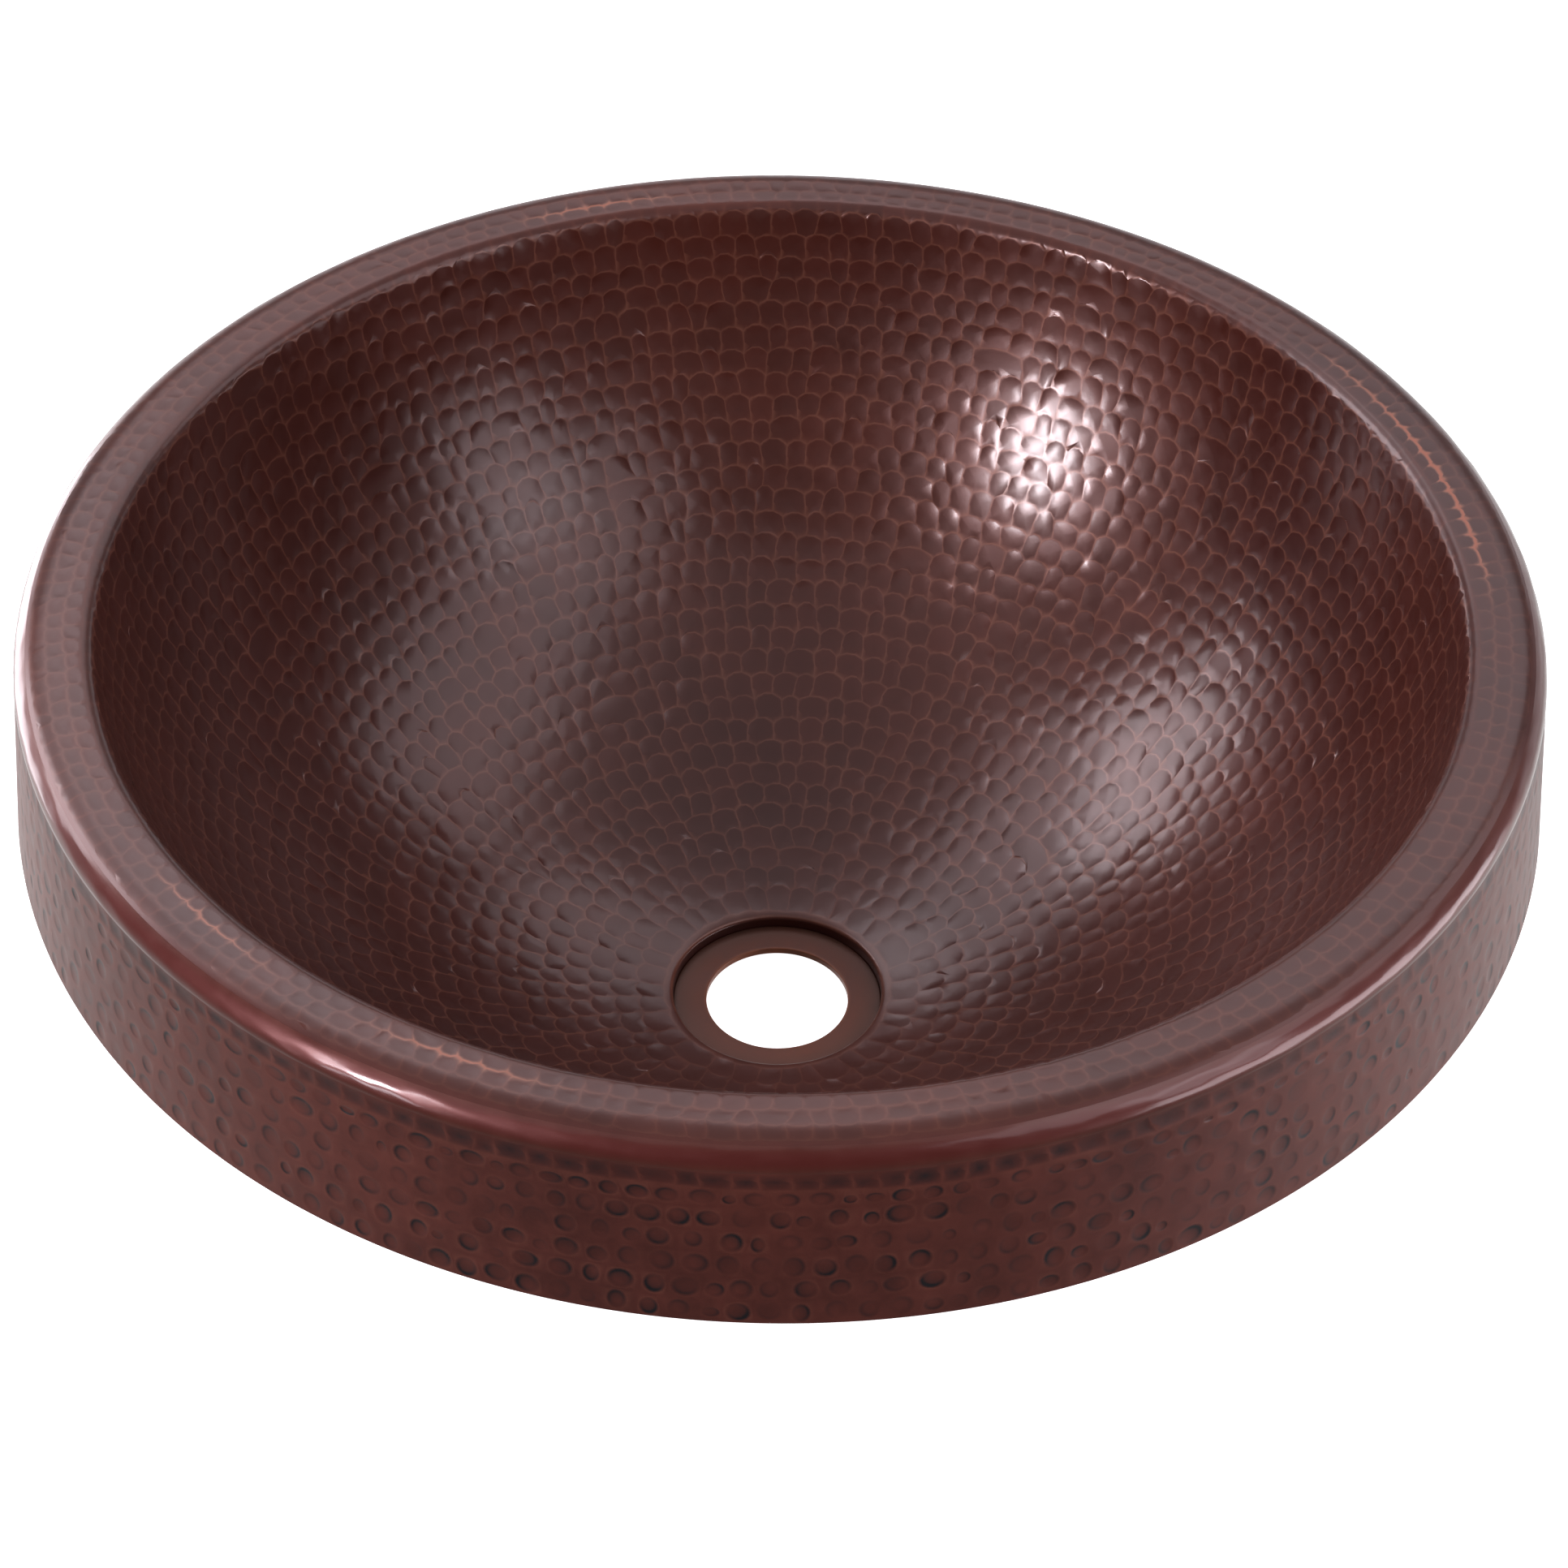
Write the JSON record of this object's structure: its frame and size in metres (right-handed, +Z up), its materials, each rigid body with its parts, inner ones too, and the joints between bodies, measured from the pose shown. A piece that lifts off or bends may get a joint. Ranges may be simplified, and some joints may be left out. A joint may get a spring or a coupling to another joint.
{
  "type": "skirted basin",
  "caption": "Round hammered copper basin with a rolled rim, a short apron skirt around it and an open drain hole in a smooth recessed seat.",
  "frame": {"origin": "on the bowl's vertical axis, at the underside of the drain seat, which is the basin's lowest face", "axes": "+Z up along the bowl's axis; +Y towards the back, where the skirt's closing seam is; +X to the right seen from the front"},
  "size_m": [0.388, 0.388, 0.1418],
  "materials": {
    "hammered_copper": "dark chocolate-brown patinated copper, hammered, satin lacquer",
    "polished_weld": "oxblood copper, ground smooth and polished",
    "dimpled_copper": "reddish-brown patinated copper with dark hammer dimples, satin",
    "seam_weld": "copper weld dressed flush, satin",
    "smooth_copper": "smooth orange-brown copper, satin",
    "brazing": "dull brazing metal"
  },
  "bodies": {
    "root": {"bowl_shell": "hammered_copper", "rim_weld": "polished_weld", "skirt_band": "dimpled_copper", "skirt_seam_weld": "seam_weld", "drain_seat_ring": "smooth_copper", "drain_braze_ring": "brazing"}
  },
  "joints": []
}
